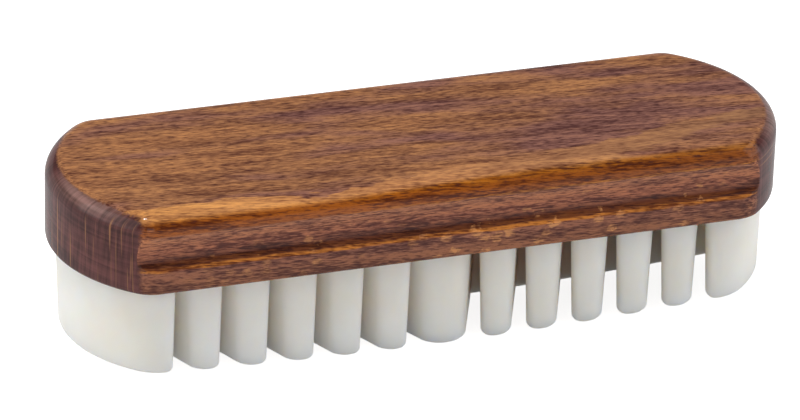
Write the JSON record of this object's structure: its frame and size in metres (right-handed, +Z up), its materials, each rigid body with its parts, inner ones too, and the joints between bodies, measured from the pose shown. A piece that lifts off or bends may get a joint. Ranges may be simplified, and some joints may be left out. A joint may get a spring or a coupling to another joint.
{
  "type": "suede brush",
  "caption": "Hand brush for suede: a stained wooden block with arc ends and finger grooves, and a cream rubber pad of herringbone ribs with a rockered sole.",
  "frame": {"origin": "centre of the brush in plan, at the lowest point of the rubber sole", "axes": "+X along the brush, +Y across it, +Z up through the wooden block's flat top"},
  "size_m": [0.125, 0.0414, 0.0312],
  "materials": {
    "stained_beech": "stained and satin lacquered beech",
    "crepe_rubber": "moulded cream rubber, soft satin",
    "contact_adhesive": "dried contact adhesive"
  },
  "bodies": {
    "root": {"handle_block": "stained_beech", "crepe_pad": "crepe_rubber", "glue_film": "contact_adhesive"}
  },
  "joints": []
}
